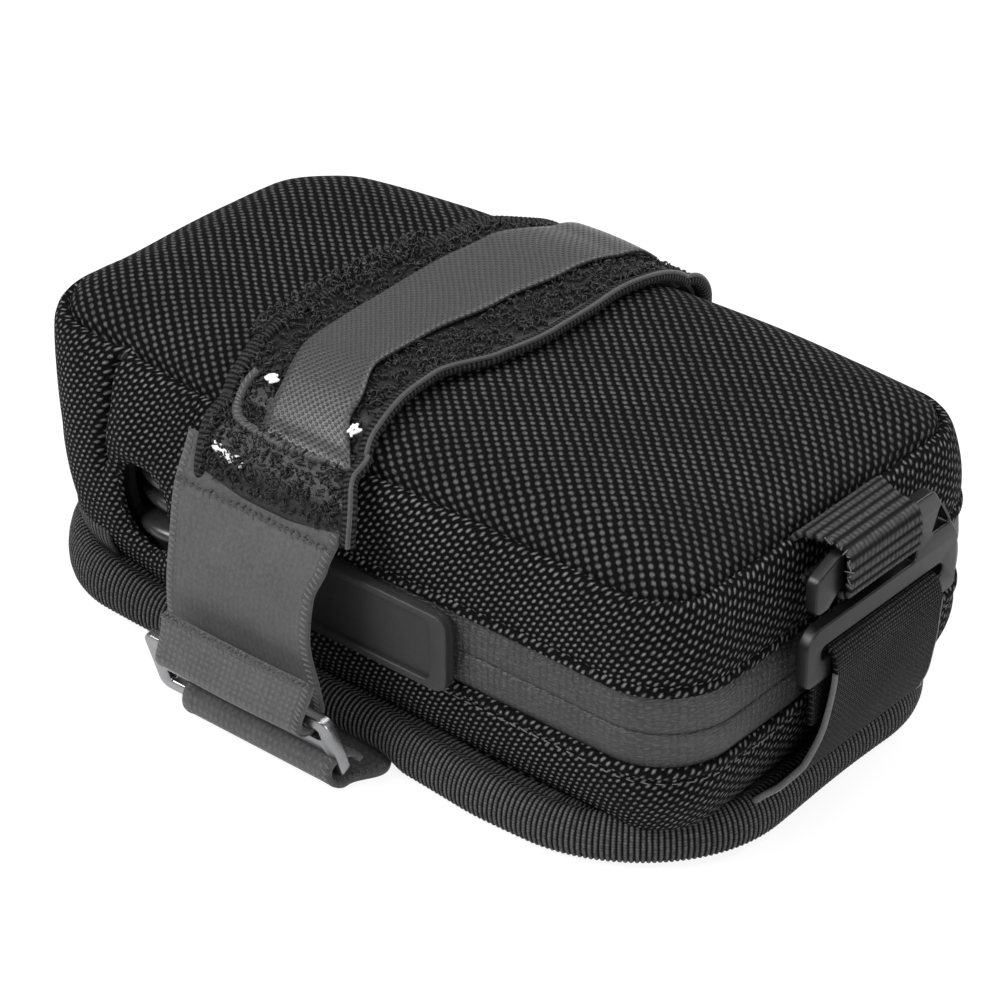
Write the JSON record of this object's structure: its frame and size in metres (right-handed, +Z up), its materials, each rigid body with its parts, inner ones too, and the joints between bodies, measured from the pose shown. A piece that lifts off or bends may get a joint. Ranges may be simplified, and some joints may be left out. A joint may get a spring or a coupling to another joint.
{
  "type": "saddle bag",
  "caption": "Small rectangular saddle bag with a zipped pod, padded wrap panel, cinch strap with a metal buckle and a flat end hook.",
  "frame": {"origin": "on the surface the bag rests on, under the middle of the wrap panel, on the strap's lower face", "axes": "+X towards the hook end, -Y the long side with the strap buckle, +Z up towards the saddle"},
  "size_m": [0.1738, 0.1179, 0.0691],
  "materials": {
    "woven_cloth": "coarse basket weave, matte",
    "foam": "closed cell foam",
    "grosgrain": "ribbed tape, matte",
    "coated_tape": "coated knit tape, satin",
    "lining": "plain fine weave",
    "zip_plastic": "satin",
    "zip_metal": "black, satin",
    "tube_rubber": "glossy",
    "loop_pile": "fuzzy loop pile",
    "satin_ribbon": "fine satin weave",
    "white_thread": "bar-tack thread",
    "grey_strap": "mottled matte weave",
    "polished_metal": "polished",
    "moulded_rubber": "fine grain, satin",
    "black_anodised": "fine bead blast, satin",
    "tab_cloth": "fine plain weave",
    "webbing": "ribbed webbing"
  },
  "bodies": {
    "bag": {"top_panel": "woven_cloth", "top_foam": "foam", "top_seam_tape": "grosgrain", "upper_gusset": "woven_cloth", "upper_welt": "grosgrain", "upper_zip_tape": "coated_tape", "lower_zip_tape": "coated_tape", "lower_welt": "grosgrain", "lower_gusset": "woven_cloth", "spine_panel": "woven_cloth", "spine_hinge": "grosgrain", "port_binding": "grosgrain", "pod_liner": "lining", "pod_floor": "lining", "floor_foam": "foam", "divider": "lining", "zip_coil": "zip_plastic", "zip_stops": "zip_metal", "spare_tube": "tube_rubber", "wrap_outer_cloth": "woven_cloth", "wrap_foam": "foam", "wrap_lining": "lining", "wrap_binding": "grosgrain", "pile_strap": "loop_pile", "pile_edge_left": "grosgrain", "pile_edge_right": "grosgrain", "rail_ribbon": "satin_ribbon", "ribbon_slot_edge": "grosgrain", "bar_tack_row": "white_thread", "cinch_strap": "grey_strap", "lower_strap": "grey_strap", "under_strap": "grey_strap", "far_strap": "grey_strap", "wing_near": "moulded_rubber", "wing_far": "moulded_rubber", "hook_tab": "tab_cloth", "hook_tab_back": "tab_cloth", "webbing_loop": "webbing"},
    "slider": {"zip_slider": "zip_metal"},
    "pull": {"zip_pull": "zip_metal"},
    "buckle": {"three_bar_buckle": "polished_metal"},
    "hook": {"g_hook": "black_anodised"}
  },
  "joints": [
    {"name": "zip_slide", "type": "slide", "parent": "bag", "child": "slider", "axis": [1, 0, 0], "range_m": [0, 0.02]},
    {"name": "pull_swing", "type": "hinge", "parent": "slider", "child": "pull", "pos_m": [0.039, 0.05185, 0.031], "axis": [1, 0, 0], "range_deg": [0, 140]},
    {"name": "buckle_rock", "type": "hinge", "parent": "bag", "child": "buckle", "pos_m": [-0.0095, -0.0565, 0.00392], "axis": [1, 0, 0], "range_deg": [-3, 3]},
    {"name": "hook_tilt", "type": "hinge", "parent": "bag", "child": "hook", "pos_m": [0.087, 0.0015, 0.03815], "axis": [0, 1, 0], "range_deg": [-12, 1]}
  ]
}
